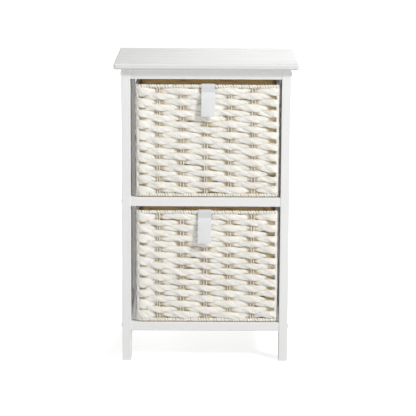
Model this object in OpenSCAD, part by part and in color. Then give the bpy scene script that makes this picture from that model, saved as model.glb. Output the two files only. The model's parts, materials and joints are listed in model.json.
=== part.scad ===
// Bathroom drawer unit: a painted wooden tower with a grooved top and two woven baskets
// that slide in as drawers, each with a strap to pull it by.
// The origin is at floor level under the middle of the top. The front faces -Y.

/* [Top] */
// Width of the top board
top_w = 370; // [340:1:460]
// Depth of the top board
top_d = 280; // [250:1:360]
// Thickness of the top board
top_t = 12; // [10:0.5:25]
// Radius on the long edges of the top board
top_edge_r = 3.5; // [1:0.5:4.5]
// Radius of the board's corners, seen from above
top_corner_r = 5; // [2:0.5:12]
// How far the top reaches past the legs at each side
side_overhang = 15; // [5:0.5:30]
// How far the top reaches past the legs in front
front_overhang = 15; // [5:0.5:30]
// Distance between the grooves in the top
groove_pitch = 47; // [30:1:80]
// Width of a groove
groove_w = 2.4; // [1:0.1:4]
// Depth of a groove in the top
groove_deep = 1.2; // [0.5:0.1:2.5]

/* [Frame] */
// Width of a leg, seen from the front
leg_w = 18; // [15:0.5:30]
// Depth of a leg, seen from the side
leg_d = 28; // [20:0.5:40]
// Radius on the long edges of a leg
leg_edge_r = 1.5; // [0.5:0.25:3]
// Height of the lowest rail above the floor
leg_clear = 64; // [30:1:120]
// Height of the bottom rail
bottom_rail_h = 18; // [17:0.5:30]
// Height of the lower drawer's bay
lower_bay_h = 243; // [180:1:320]
// Height of the middle rail
mid_rail_h = 19; // [17:0.5:30]
// Height of the upper drawer's bay
upper_bay_h = 241; // [180:1:320]
// Height of the front top rail
top_rail_h = 21; // [17:0.5:40]
// Depth of every cross rail, from front to back
rail_d = 16; // [15:0.5:24]
// Step from a leg's face back to the rail's face
rail_setback = 1; // [0:0.25:3]
// Radius on the front edges of a rail
rail_edge_r = 1.5; // [0.5:0.25:3]
// Height of the rear rails, which also stop the drawers
rear_rail_h = 30; // [26:1:60]

/* [Sides] */
// Thickness of a side rail
side_rail_t = 14; // [12:0.5:16]
// Height of a side rail
side_rail_h = 28; // [22:1:60]
// Thickness of a side panel
panel_t = 5; // [4:0.5:6]
// Depth of the grooves that hold a side panel
panel_slot = 6; // [3:0.5:8]
// Depth of the upright grooves that pattern a side panel
panel_groove_deep = 0.8; // [0.4:0.1:1.5]

/* [Runners] */
// Width of a runner
runner_w = 18; // [14:0.5:26]
// Height of a runner
runner_h = 16; // [12:0.5:17]
// Distance from a leg's inner face to the middle of a runner
runner_inset = 28; // [26:0.5:60]

/* [Fasteners] */
// Thread diameter of the screws that hold the rails
screw_d = 5; // [4:0.5:6]
// Depth that a rail screw reaches into its rail
screw_bite = 20; // [12:0.5:21]
// Head diameter of the rail screws
screw_head_d = 9; // [8:0.5:10]
// Head height of the rail screws
screw_head_h = 3.5; // [2:0.25:4]
// Depth at which a screw head's outer face lies in its leg
screw_sunk = 5; // [4:0.25:7]
// Diameter of a cap's dome
cap_d = 14; // [12:0.5:15]
// Height that a cap stands proud of its leg
cap_h = 2; // [1.5:0.25:3]
// Length of a cap's stem
cap_stem = 4; // [2:0.25:4]
// Thread diameter of the screws that hold the top
top_screw_d = 4; // [3:0.5:5]
// Depth that these screws reach into the top
top_screw_bite = 8; // [5:0.5:9]
// Length of these screws inside the rail, head included
top_screw_grip = 17; // [12:0.5:17]
// Distance from a leg's inner face to these screws
top_screw_inset = 52; // [30:1:100]
// Diameter of the dowels in runners and side rails
dowel_d = 6; // [5:0.5:8]
// Length of a dowel
dowel_len = 20; // [12:1:26]
// Clearance round a screw, dowel, cap stem or panel edge
fit = 0.1; // [0.05:0.05:0.2]

/* [Baskets] */
// Gap from the left legs to a basket's side
basket_left_gap = 8.5; // [1:0.5:20]
// Gap from a basket's side to the right legs
basket_right_gap = 1.5; // [1:0.5:20]
// Gap from a basket's back to the rear rails
back_gap = 2; // [1:0.5:20]
// Step from a leg's face back to a basket's front
basket_setback = 2; // [1:0.5:10]
// Gap between the upper basket's rim and the rail above it
upper_rim_gap = 10.5; // [9:0.5:40]
// Gap between the lower basket's rim and the rail above it
lower_rim_gap = 8.5; // [8:0.5:40]
// Running clearance between a basket's foot and its runners
run_gap = 0.3; // [0.2:0.05:1]
// Radius of a basket's corners
basket_r = 14; // [10:0.5:30]
// Thickness of the woven wall
wall_t = 8; // [6:0.5:12]
// Thickness of the woven base
base_t = 5; // [3:0.5:8]
// Diameter of the rim border
rim_d = 8; // [7:0.5:9]
// Diameter of the foot border
foot_d = 8; // [7:0.5:12]
// Diameter of the wires inside a basket
wire_d = 3.5; // [2:0.25:4]
// Diameter of one upright stake
stake_d = 2; // [1.5:0.25:3]
// Distance between the two stakes of a pair
stake_split = 5; // [3.5:0.5:8]
// Distance between the pairs of stakes
stake_pitch = 48; // [30:1:70]
// Place of the middle pair in front and behind, to the right of the basket's middle
stake_x = -3.5; // [-8:0.5:8]

/* [Pull straps] */
// Width of a strap
strap_w = 27.5; // [20:0.5:50]
// Thickness of the strap's webbing
strap_t = 1.5; // [1:0.1:2]
// Length of the upper strap, from its fold to its end
upper_strap_len = 68; // [40:1:90]
// Length of the lower strap, from its fold to its end
lower_strap_len = 71; // [40:1:90]
// Angle at which a strap stands off its basket
strap_lean = 10; // [8:0.5:14]
// Clearance between a strap's loop and the rim
strap_gap = 0.4; // [0.3:0.1:1]
// Place of the upper strap, to the right of the basket's middle
upper_strap_x = 0.5; // [-15:0.5:15]
// Place of the lower strap, to the right of the basket's middle
lower_strap_x = -5.5; // [-15:0.5:15]

/* [Hidden] */
$fn = 48;
tiny = 0.01;

// Levels of the frame, from the floor up
z_bottom = leg_clear;
z_lower = z_bottom + bottom_rail_h;
z_mid = z_lower + lower_bay_h;
z_upper = z_mid + mid_rail_h;
z_top_rail = z_upper + upper_bay_h;
z_top = z_top_rail + top_rail_h;
bay_floors = [z_lower, z_upper];

// The frame's outer and inner faces
frame_x = top_w / 2 - side_overhang;
leg_in_x = frame_x - leg_w;
y_front = -top_d / 2 + front_overhang;
y_back = top_d / 2;
rail_front_y = y_front + rail_setback;
rail_rear_y = y_back - rail_setback;
bay_back_y = rail_rear_y - rail_d;
side_front_y = y_front + leg_d;
side_back_y = y_back - leg_d;

// Side rails and panels
side_rail_x = frame_x - rail_setback;
panel_x = side_rail_x - side_rail_t / 2 + panel_t / 2;
panel_low = z_bottom + side_rail_h - panel_slot;
panel_high = z_top - side_rail_h + panel_slot;

// Runners
runner_x = leg_in_x - runner_inset;
bay_front_y = rail_front_y + rail_d;

// Fasteners
screw_len = leg_w - screw_sunk - screw_head_h + screw_bite;
screw_ys = [rail_front_y + rail_d / 2, rail_rear_y - rail_d / 2];
rail_zs = [z_bottom + bottom_rail_h / 2, z_mid + mid_rail_h / 2, z_top - top_rail_h / 2];
cap_bore = screw_head_d + 2 * fit;
top_screw_x = leg_in_x - top_screw_inset;
top_head_d = 2 * top_screw_d;
top_head_h = top_screw_d / 2;
runner_dowel_drop = runner_h / 2;
side_rail_mid_x = side_rail_x - side_rail_t / 2;

// Baskets
basket_w = 2 * leg_in_x - basket_left_gap - basket_right_gap;
basket_x = (basket_left_gap - basket_right_gap) / 2;
basket_front = y_front + basket_setback;
basket_back = bay_back_y - back_gap;
basket_d = basket_back - basket_front;
basket_y = (basket_front + basket_back) / 2;
upper_low = z_upper + run_gap;
upper_high = z_top_rail - upper_rim_gap;
lower_low = z_lower + run_gap;
lower_high = z_mid - lower_rim_gap;
front_pairs = 2 * floor((basket_w / 2 - basket_r - stake_split - abs(stake_x)) / stake_pitch) + 1;
side_pairs = 2 * floor((basket_d / 2 - basket_r - stake_split) / stake_pitch + 0.5);

// Straps
loop_r = rim_d / 2 + strap_gap;
loop_out = loop_r + strap_t;
strap_side_gap = 1.5;
slot_w = strap_w + 2 * strap_side_gap;
slot_drop = loop_out + 1.5;

// Rectangle with round corners, centred
module plan(w, d, r) {
  square([w - 2 * r, d], center = true);
  square([w, d - 2 * r], center = true);
  for (x = [-1, 1], y = [-1, 1])
    translate([x * (w / 2 - r), y * (d / 2 - r)]) circle(r);
}

// Bar along X whose long edges are rounded
module bar_x(x0, x1, y0, y1, z0, z1, r) {
  translate([x0, (y0 + y1) / 2, (z0 + z1) / 2])
    rotate([90, 0, 90])
      linear_extrude(x1 - x0) plan(y1 - y0, z1 - z0, r);
}

// Bar along Y whose long edges are rounded
module bar_y(x0, x1, y0, y1, z0, z1, r) {
  translate([(x0 + x1) / 2, y1, (z0 + z1) / 2])
    rotate([90, 0, 0])
      linear_extrude(y1 - y0) plan(x1 - x0, z1 - z0, r);
}

// Block between two corners
module block(a, b) {
  translate(a) cube(b - a);
}

// Rod along X
module rod_x(x0, x1, y, z, d) {
  translate([x0, y, z]) rotate([0, 90, 0]) cylinder(h = x1 - x0, d = d);
}

// Rod along Y
module rod_y(x, y0, y1, z, d) {
  translate([x, y0, z]) rotate([-90, 0, 0]) cylinder(h = y1 - y0, d = d);
}

// Copies at the right and mirrored to the left
module both() {
  children();
  mirror([1, 0, 0]) children();
}

// The top board, with grooves along it that look like planks
module top_panel() {
  color("white")
  difference() {
    intersection() {
      bar_x(-top_w / 2, top_w / 2, -top_d / 2, top_d / 2, z_top, z_top + top_t, top_edge_r);
      bar_y(-top_w / 2, top_w / 2, -top_d / 2, top_d / 2, z_top, z_top + top_t, top_edge_r);
      translate([0, 0, z_top]) linear_extrude(top_t) plan(top_w, top_d, top_corner_r);
    }
    for (y = [groove_pitch / 2 : groove_pitch : top_d / 2 - groove_w - top_edge_r], s = [-1, 1])
      translate([0, s * y, z_top + top_t]) rotate([45, 0, 0])
        cube([top_w + 2, groove_w / sqrt(2), groove_w / sqrt(2)], center = true);
    top_screw_holes(top_screw_d + 2 * fit);
  }
}

// Bores for the screws that hold the top, through the rails and into the board
module top_screw_holes(d) {
  for (x = [-top_screw_x, top_screw_x], y = screw_ys)
    translate([x, y, z_top - top_screw_grip])
      cylinder(h = top_screw_grip + top_screw_bite + fit, d = d);
}

// Countersinks under the top's screws, open to the rail's lower edge
module top_screw_sinks() {
  for (x = [-top_screw_x, top_screw_x], y = screw_ys) {
    translate([x, y, z_top - top_screw_grip - rear_rail_h])
      cylinder(h = rear_rail_h + tiny, d = top_head_d + 4 * fit);
    translate([x, y, z_top - top_screw_grip])
      cylinder(h = top_head_h, d1 = top_head_d + 2 * fit, d2 = top_screw_d + 2 * fit);
  }
}

// Leg at the right, in front. back says which way it faces
module leg(back) {
  y0 = back ? side_back_y : y_front;
  mid_y = back ? screw_ys[1] : screw_ys[0];
  face_y = back ? side_back_y : side_front_y;
  turn = back ? 1 : -1;
  difference() {
    translate([frame_x - leg_w / 2, y0 + leg_d / 2, 0])
      linear_extrude(z_top) plan(leg_w, leg_d, leg_edge_r);
    for (z = rail_zs) {
      rod_x(leg_in_x - 1, frame_x, mid_y, z, screw_d + 2 * fit);
      rod_x(frame_x - screw_sunk - screw_head_h, frame_x + 1, mid_y, z, cap_bore);
    }
    block([panel_x - panel_t - fit, face_y - panel_slot, panel_low - fit],
          [panel_x + fit, face_y + panel_slot, panel_high + fit]);
    side_dowel_holes();
  }
}

module leg_front_right() {
  color("white") leg(false);
}

module leg_rear_right() {
  color("white") leg(true);
}

module leg_front_left() {
  mirror([1, 0, 0]) leg_front_right();
}

module leg_rear_left() {
  mirror([1, 0, 0]) leg_rear_right();
}

// Cross rail in front or behind, bored for its two screws and its runners' dowels
module cross_rail(back, z0, z1, level) {
  y0 = back ? bay_back_y : rail_front_y;
  color("white")
  difference() {
    bar_x(-leg_in_x, leg_in_x, y0, y0 + rail_d, z0, z1, rail_edge_r);
    both()
      rod_x(leg_in_x - screw_bite - 1, leg_in_x + 1, screw_ys[back ? 1 : 0], rail_zs[level],
            screw_d + 2 * fit);
    runner_dowel_holes();
    top_screw_holes(top_screw_d + 2 * fit);
    top_screw_sinks();
  }
}

module front_bottom_rail() {
  cross_rail(false, z_bottom, z_lower, 0);
}

module front_mid_rail() {
  cross_rail(false, z_mid, z_upper, 1);
}

module front_top_rail() {
  cross_rail(false, z_top_rail, z_top, 2);
}

module rear_bottom_rail() {
  cross_rail(true, z_bottom, z_bottom + rear_rail_h, 0);
}

module rear_mid_rail() {
  cross_rail(true, z_mid, z_mid + rear_rail_h, 1);
}

module rear_top_rail() {
  cross_rail(true, z_top - rear_rail_h, z_top, 2);
}

// Side rail at the right, grooved for the panel on one edge
module side_rail(z0, slot_at) {
  color("white")
  difference() {
    bar_y(side_rail_x - side_rail_t, side_rail_x, side_front_y, side_back_y,
          z0, z0 + side_rail_h, rail_edge_r);
    block([panel_x - panel_t - fit, side_front_y - 1, slot_at - panel_slot - fit],
          [panel_x + fit, side_back_y + 1, slot_at + panel_slot + fit]);
    side_dowel_holes();
  }
}

module side_top_rail_right() {
  side_rail(z_top - side_rail_h, z_top - side_rail_h);
}

module side_bottom_rail_right() {
  side_rail(z_bottom, z_bottom + side_rail_h);
}

module side_top_rail_left() {
  mirror([1, 0, 0]) side_top_rail_right();
}

module side_bottom_rail_left() {
  mirror([1, 0, 0]) side_bottom_rail_right();
}

// Side panel, held by grooves in the legs and side rails
module side_panel_right() {
  y0 = side_front_y - panel_slot + fit;
  y1 = side_back_y + panel_slot - fit;
  y_mid = (y0 + y1) / 2;
  color("white")
  difference() {
    block([panel_x - panel_t, y0, panel_low], [panel_x, y1, panel_high]);
    for (y = [groove_pitch / 2 : groove_pitch : (side_back_y - side_front_y) / 2 - groove_w], s = [-1, 1])
      translate([panel_x, y_mid + s * y, (z_bottom + z_top) / 2]) rotate([0, 0, 45])
        cube([panel_groove_deep * sqrt(2), panel_groove_deep * sqrt(2), z_top], center = true);
  }
}

module side_panel_left() {
  mirror([1, 0, 0]) side_panel_right();
}

// Runner at the right, from the front rail to the rear rail
module runner(z) {
  color("white")
  difference() {
    bar_y(runner_x - runner_w / 2, runner_x + runner_w / 2, bay_front_y, bay_back_y,
          z - runner_h, z, rail_edge_r);
    runner_dowel_holes();
  }
}

module upper_runner_right() {
  runner(z_upper);
}

module lower_runner_right() {
  runner(z_lower);
}

module upper_runner_left() {
  mirror([1, 0, 0]) upper_runner_right();
}

module lower_runner_left() {
  mirror([1, 0, 0]) lower_runner_right();
}

// Rods where runners meet rails, grown by gap
module runner_dowel_rods(gap) {
  for (x = [-runner_x, runner_x], y = [bay_front_y, bay_back_y], z = bay_floors)
    rod_y(x, y - dowel_len / 2 - gap, y + dowel_len / 2 + gap, z - runner_dowel_drop,
          dowel_d + 2 * gap);
}

module runner_dowel_holes() {
  runner_dowel_rods(fit);
}

module runner_dowels() {
  color("burlywood") runner_dowel_rods(0);
}

// Rods where side rails meet legs, grown by gap
module side_dowel_rods(gap) {
  for (x = [-side_rail_mid_x, side_rail_mid_x], y = [side_front_y, side_back_y],
       z = [z_bottom + (side_rail_h - panel_slot) / 2, z_top - (side_rail_h - panel_slot) / 2])
    rod_y(x, y - dowel_len / 2 - gap, y + dowel_len / 2 + gap, z, dowel_d + 2 * gap);
}

module side_dowel_holes() {
  side_dowel_rods(fit);
}

module side_dowels() {
  color("burlywood") side_dowel_rods(0);
}

// Screws through the legs into the rails' ends
module rail_screws() {
  color("silver")
  for (y = screw_ys, z = rail_zs)
    both() {
      x = frame_x - screw_sunk;
      rod_x(x - screw_head_h, x, y, z, screw_head_d);
      rod_x(x - screw_head_h - screw_len, x - screw_head_h + tiny, y, z, screw_d);
    }
}

// Domed caps that close the screws' bores
module screw_caps() {
  dome_r = (cap_d * cap_d / 4 + cap_h * cap_h) / (2 * cap_h);
  color("white")
  for (y = screw_ys, z = rail_zs)
    both()
      translate([frame_x, y, z]) rotate([0, 90, 0]) {
        intersection() {
          translate([0, 0, cap_h - dome_r]) sphere(dome_r);
          cylinder(h = cap_h, d = cap_d);
        }
        translate([0, 0, -cap_stem]) cylinder(h = cap_stem + tiny, d = screw_head_d);
      }
}

// Countersunk screws that hold the top down on the rails
module top_screws() {
  color("silver")
  for (x = [-top_screw_x, top_screw_x], y = screw_ys)
    translate([x, y, z_top - top_screw_grip]) {
      cylinder(h = top_screw_grip + top_screw_bite, d = top_screw_d);
      cylinder(h = top_head_h, d1 = top_head_d, d2 = top_screw_d);
    }
}

// Round bar bent to the basket's plan, d thick, with its middle at height z
module ring_bar(z, d) {
  r = basket_r - wall_t / 2;
  lx = basket_w / 2 - basket_r;
  ly = basket_d / 2 - basket_r;
  translate([0, basket_y, z]) {
    for (s = [-1, 1]) {
      rod_x(-lx, lx, s * (ly + r), 0, d);
      rod_y(s * (lx + r), -ly, ly, 0, d);
    }
    for (x = [-1, 1], y = [-1, 1])
      translate([x * lx, y * ly, 0])
        rotate([0, 0, (y > 0 ? (x > 0 ? 0 : 90) : (x > 0 ? 270 : 180))])
          rotate_extrude(angle = 90) translate([r, 0]) circle(d = d);
  }
}

// Upright wires in the basket's corners
module corner_rods(z0, z1, d) {
  r = (basket_r - wall_t / 2) / sqrt(2);
  lx = basket_w / 2 - basket_r;
  ly = basket_d / 2 - basket_r;
  for (x = [-1, 1], y = [-1, 1])
    translate([x * (lx + r), basket_y + y * (ly + r), z0]) cylinder(h = z1 - z0, d = d);
}

// Pairs of upright stakes round the basket
module stake_rods(z0, z1, d) {
  wx = basket_w / 2 - wall_t / 2;
  wy = basket_d / 2 - wall_t / 2;
  for (i = [0 : front_pairs - 1], p = [-1, 1], s = [-1, 1])
    translate([stake_x + (i - (front_pairs - 1) / 2) * stake_pitch + p * stake_split / 2,
               basket_y + s * wy, z0]) cylinder(h = z1 - z0, d = d);
  for (i = [0 : side_pairs - 1], p = [-1, 1], s = [-1, 1])
    translate([s * wx, basket_y + (i - (side_pairs - 1) / 2) * stake_pitch + p * stake_split / 2,
               z0]) cylinder(h = z1 - z0, d = d);
}

// Room for the strap's loop under the rim
module strap_room(z1, strap_x) {
  block([strap_x - slot_w / 2, basket_front - 1, z1 - rim_d / 2 - slot_drop],
        [strap_x + slot_w / 2, basket_front + wall_t + 1, z1]);
}

// Woven wall between the foot and the rim
module walls(z0, z1, strap_x) {
  low = z0 + foot_d;
  high = z1 - rim_d;
  color("wheat")
  difference() {
    translate([0, basket_y, low]) linear_extrude(high - low)
      difference() {
        plan(basket_w, basket_d, basket_r);
        plan(basket_w - 2 * wall_t, basket_d - 2 * wall_t, basket_r - wall_t);
      }
    corner_rods(low - 1, high + 1, wire_d + 2 * fit);
    stake_rods(low - 1, high + 1, stake_d + 2 * fit);
    strap_room(z1, strap_x);
  }
}

// Woven base, inside the foot border
module base(z0) {
  inset = wall_t / 2 + foot_d / 2 + fit;
  color("wheat")
  translate([0, basket_y, z0 + (foot_d - base_t) / 2]) linear_extrude(base_t)
    plan(basket_w - 2 * inset, basket_d - 2 * inset, basket_r - wall_t + 1);
}

// Border wound round a wire: the rim or the foot
module border(z, d) {
  color("linen")
  difference() {
    ring_bar(z, d);
    ring_bar(z, wire_d + 2 * fit);
  }
}

module rim(z1) {
  difference() {
    border(z1 - rim_d / 2, rim_d);
    corner_rods(z1 - rim_d - 1, z1 - rim_d / 2, wire_d + 2 * fit);
  }
}

module foot(z0) {
  difference() {
    border(z0 + foot_d / 2, foot_d);
    corner_rods(z0 + foot_d / 2, z0 + foot_d + 1, wire_d + 2 * fit);
  }
}

// Welded wires: one in the rim, one in the foot, and an upright in each corner
module wires(z0, z1) {
  color("silver") {
    ring_bar(z1 - rim_d / 2, wire_d);
    ring_bar(z0 + foot_d / 2, wire_d);
    corner_rods(z0 + foot_d / 2, z1 - rim_d / 2, wire_d);
  }
}

// Stakes, cut short where the strap passes over them
module stakes(z0, z1, strap_x) {
  color("linen")
  difference() {
    stake_rods(z0 + foot_d + fit, z1 - rim_d - fit, stake_d);
    strap_room(z1, strap_x);
  }
}

// Strap looped round the rim, its two layers sewn together below it
module strap(z1, strap_x, len) {
  drop = len - loop_out;
  color("whitesmoke")
  translate([strap_x, basket_front + wall_t / 2, z1 - rim_d / 2])
    rotate([-strap_lean, 0, 0])
      difference() {
        union() {
          rod_x(-strap_w / 2, strap_w / 2, 0, 0, 2 * loop_out);
          block([-strap_w / 2, -loop_out, -drop], [strap_w / 2, -loop_out + 2 * strap_t, 0]);
        }
        rod_x(-strap_w / 2 - 1, strap_w / 2 + 1, 0, 0, 2 * loop_r);
      }
}

// Moves a basket's piece to the basket's middle between the legs
module in_place() {
  translate([basket_x, 0, 0]) children();
}

module upper_walls() {
  in_place() walls(upper_low, upper_high, upper_strap_x);
}

module upper_base() {
  in_place() base(upper_low);
}

module upper_rim() {
  in_place() rim(upper_high);
}

module upper_foot() {
  in_place() foot(upper_low);
}

module upper_wires() {
  in_place() wires(upper_low, upper_high);
}

module upper_stakes() {
  in_place() stakes(upper_low, upper_high, upper_strap_x);
}

module upper_strap() {
  in_place() strap(upper_high, upper_strap_x, upper_strap_len);
}

module lower_walls() {
  in_place() walls(lower_low, lower_high, lower_strap_x);
}

module lower_base() {
  in_place() base(lower_low);
}

module lower_rim() {
  in_place() rim(lower_high);
}

module lower_foot() {
  in_place() foot(lower_low);
}

module lower_wires() {
  in_place() wires(lower_low, lower_high);
}

module lower_stakes() {
  in_place() stakes(lower_low, lower_high, lower_strap_x);
}

module lower_strap() {
  in_place() strap(lower_high, lower_strap_x, lower_strap_len);
}

top_panel();
leg_front_left();
leg_front_right();
leg_rear_left();
leg_rear_right();
front_top_rail();
front_mid_rail();
front_bottom_rail();
rear_top_rail();
rear_mid_rail();
rear_bottom_rail();
side_top_rail_left();
side_top_rail_right();
side_bottom_rail_left();
side_bottom_rail_right();
side_panel_left();
side_panel_right();
upper_runner_left();
upper_runner_right();
lower_runner_left();
lower_runner_right();
rail_screws();
screw_caps();
top_screws();
runner_dowels();
side_dowels();
upper_walls();
upper_base();
upper_rim();
upper_foot();
upper_wires();
upper_stakes();
upper_strap();
lower_walls();
lower_base();
lower_rim();
lower_foot();
lower_wires();
lower_stakes();
lower_strap();
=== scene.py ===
"""Looks of the bathroom drawer unit: painted frame, two woven baskets and their pull straps."""

import json
import math

import bmesh
import bpy
import numpy as np
from mathutils import Matrix, Vector


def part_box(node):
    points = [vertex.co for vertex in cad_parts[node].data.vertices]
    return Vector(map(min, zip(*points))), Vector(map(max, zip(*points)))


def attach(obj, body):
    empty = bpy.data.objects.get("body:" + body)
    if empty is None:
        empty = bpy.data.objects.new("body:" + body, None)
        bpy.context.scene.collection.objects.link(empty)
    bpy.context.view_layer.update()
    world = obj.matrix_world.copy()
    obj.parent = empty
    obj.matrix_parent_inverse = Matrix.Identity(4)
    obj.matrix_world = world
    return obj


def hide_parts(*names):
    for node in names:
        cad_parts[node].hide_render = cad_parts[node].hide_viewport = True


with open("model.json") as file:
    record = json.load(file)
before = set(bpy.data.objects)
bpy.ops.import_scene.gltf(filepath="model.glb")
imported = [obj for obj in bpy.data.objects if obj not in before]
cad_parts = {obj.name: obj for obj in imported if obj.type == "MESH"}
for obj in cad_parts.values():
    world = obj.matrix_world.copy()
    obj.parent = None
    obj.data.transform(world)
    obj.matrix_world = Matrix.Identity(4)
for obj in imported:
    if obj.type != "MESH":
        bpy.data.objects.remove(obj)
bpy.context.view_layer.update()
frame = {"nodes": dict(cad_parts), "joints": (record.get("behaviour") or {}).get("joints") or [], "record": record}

# Basket sizes, in metres. Places come from the frame's own solids.
WALL = 0.008
BASKET_CORNER = 0.014
NEAR_CORNER = 0.01

# Upright stakes, in pairs at steps of the pitch, and the wrapped uprights in the corners
STAKE_PITCH = 0.048
STAKE_SPLIT = 0.005
STAKE_SIDE = -0.0035
FRONT_STAKES = (-2, -1, 0, 1, 2)
SIDE_STAKES = (-1.5, -0.5, 0.5, 1.5)
STAKE_R = 0.0012
STAKE_OUT = 0.001
STAKE_SWAY = 0.0004
STAKE_TWIST = 2200
STAKE_EDGE = 0.66
STAKE_STEPS = 40
STAKE_TONE = 0.37
CORNER_R = 0.0034
CORNER_OUT = 0.0012

# Sides of a thick strand and of a thin cord
STRAND_SIDES = 10
CORD_SIDES = 8

# Strands of the wall
ROWS = 19
PLIES = 3
WEAVE_SHARES = 3
RING_STEP = 0.004
FLOAT_HEIGHT = 0.0161
CROSSING_HEIGHT = 0.0138
FLOAT_GROWTH = 1.15
STRAND_THICK = 0.0044
STRAND_SWING = 0.0027
INWARD_SWING = 0.0033
SWING_GROWTH = 1.6
STRAND_TILT = 0.0009
PLY_OFFSET = 0.38
PLY_SIZE = 0.66
TWIST_LENGTH = 0.074
FIBRE_TWIST_LENGTH = 0.05
STRAND_APART = 1.7
FIRST_ROW_UP = 1.2
INNER_FACE_DROP = 4.4

# Depths in millimetres at which the paper is bare and painted
STRAND_PAINT = (-1.4, 0.4)
BORDER_PAINT = (-1.0, 0.8)

# Where strands sit tight, gape, or give way to the strap
CORNER_SNUG = 0.34
LOOSE_SNUG = 0.06
BACK_SNUG = 0.3
BACK_SNUG_FROM = 13
OPEN_THIN = 0.5
OPEN_SUNK = 0.0012
OPEN_EVERY = 4
PRESSED_WIDE = 0.017
PRESSED_DOWN = 0.0026
PRESSED_IN = 0.0013

# Spread of the small differences between strands
SWELL_SPREAD = 0.08
LIFT_SPREAD = 0.0002
LEVEL_SPREAD = 0.00035
SAG_SPREAD = 0.00065
BASE_SPREADS = (0.05, 0.0001, 0.0004)

# Borders: a cord wound round a core. WRAP_CORD and BORDER_CORE are parts of the border's radius.
WRAP_PITCH = 0.0053
WRAP_CORD = 0.36
WRAP_LEAN = 0.54
WRAP_STEPS = 12
WRAP_WANDER = 0.0005
WANDER_WAVES = 61
TONE_WAVES = 37
# Cream of painted shade where each turn of the cord meets the next
WRAP_CREVICE_SHADE = 1.15
WRAP_PAINTED = 0.0032
BORDER_CORE = 0.62
# How far the foot border's underside drops below the paint: a brown line of painted shade above the rail
UNDER_PAINTED_SHADE = 0.009

# Woven base
BASE_ROW = 0.0114
BASE_SWING = 0.0022
BASE_UP = 0.0008
BASE_FLAT = 0.75
BASE_GAP_X = 0.001
BASE_GAP_Y = 0.002
BASE_INSET = 0.7
BASE_CHANCE = 0.5
BASE_START = 6
BASE_STEPS = 70
BASE_STAKE_STEPS = 60
BASE_TONE = 0.61

# Pull straps
STRAP_THICK = 0.0011
STRAP_STEPS = 16
STRAP_PLAY = 0.0004
STRAP_TRIM = 0.0004
STRAP_LEAN = 10.0
SEAM_PINCH = 0.0024
SEAM_DROP = 0.017
HEM = 0.006
STITCHES = 9
STITCH = (0.0011, 0.0003, 0.0003, 1)
SEAM_MARGIN = 0.0015
SOFT_EDGE = 0.0004
TAIL_PARTS = (1.0, 0.86, 0.72, 0.58, 0.46, 0.38)
CURL_FROM = 0.02
CURL_SPAN = 0.04
CURL_BACK = 0.0005
CURL_WAVE = 0.0003

# Grooves and edges of the top board, whose paint is darkened there as painted shade
GROOVE_PITCH = 0.047
GROOVE_HALF = 0.0012
GROOVE_FADE = 0.0004
EDGE_FROM = 0.002
EDGE_FADE = 0.001
EDGE_PAINTED_SHADE = 0.4

# Brush lines of the paint, few along the grain and many across it
ALONG_GRAIN = 6.0
ACROSS_GRAIN = 260.0

# Camera, from the photograph's proportions
FRAME_PX = 416
SENSOR = 36.0
FOCAL_PX = 1767.0
CAMERA_GAP = 3.5
CAMERA_OVER_TOP = 0.4345
CAMERA_SIDE = 0.006
CAMERA_PITCH = 0.2048
CAMERA_YAW = -0.0003
CAMERA_ROLL = 0.0049

# Each lamp's name, place, aim, size and power
LAMPS = (
    ("key", (2.77, -2.58, 3.26), (0, 0, 0.3), 1.1, 160),
    ("behind_camera", (0.006, -3.74, 1.066), (0, 0, 0.45), 0.05, 41),
    ("left", (-2.6, 0.2, 1.0), (0, 0, 0.3), 1.4, 26),
    ("behind", (0.6, 2.8, 1.5), (0, 0, 0.3), 1.4, 21),
    ("low_behind", (0.2, 2.9, 0.4), (0, 0, 0.35), 1.0, 18),
)
WORLD_LIGHT = 0.12
FLOOR_HALF = 30.0
FLOOR_TONE = 0.6
GLOW_NEAR = 0.72
GLOW_FROM = 0.5
GLOW_FULL = 1.6

# Random seed of each basket
SEEDS = {"upper": 11, "lower": 29}


def material(name):
    """A new material, its node tree and its Principled shader."""
    mat = bpy.data.materials.new(name)
    mat.use_nodes = True
    tree = mat.node_tree
    return mat, tree, tree.nodes["Principled BSDF"]


def add(tree, kind, **values):
    """A node of that kind, with its settings and the defaults of its inputs."""
    made = tree.nodes.new(kind)
    for key, value in values.items():
        if key in made.inputs:
            made.inputs[key].default_value = value
        else:
            setattr(made, key, value)
    return made


def feed(tree, socket, value):
    """Gives an input socket a constant, or joins another socket to it."""
    if isinstance(value, bpy.types.NodeSocket):
        tree.links.new(value, socket)
    else:
        socket.default_value = value


def math_node(tree, operation, first, second=0.0, clamp=False):
    """The value of a math node whose inputs are sockets or numbers."""
    made = add(tree, "ShaderNodeMath", operation=operation, use_clamp=clamp)
    feed(tree, made.inputs[0], first)
    feed(tree, made.inputs[1], second)
    return made.outputs[0]


def fade(tree, value, low, high, start=0.0, end=1.0):
    """A value that goes smoothly from start to end as the input goes from low to high."""
    made = add(tree, "ShaderNodeMapRange", interpolation_type="SMOOTHSTEP")
    feed(tree, made.inputs["Value"], value)
    feed(tree, made.inputs["From Min"], low)
    feed(tree, made.inputs["From Max"], high)
    feed(tree, made.inputs["To Min"], start)
    feed(tree, made.inputs["To Max"], end)
    return made.outputs["Result"]


def blend_colours(tree, factor, first, second):
    """A mix of two colours, each a socket or an RGB tuple, by a factor."""
    made = add(tree, "ShaderNodeMix", data_type="RGBA")
    feed(tree, made.inputs["Factor"], factor)
    for name, value in (("A", first), ("B", second)):
        socket = [s for s in made.inputs if s.name == name and s.type == "RGBA"][0]
        feed(tree, socket, (*value, 1.0) if isinstance(value, tuple) else value)
    return [s for s in made.outputs if s.type == "RGBA"][0]


def noise(tree, place, scale, detail, roughness=0.5):
    """The value of a noise at a place."""
    made = add(tree, "ShaderNodeTexNoise", Scale=scale, Detail=detail, Roughness=roughness)
    feed(tree, made.inputs["Vector"], place)
    return made.outputs["Fac"]


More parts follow.
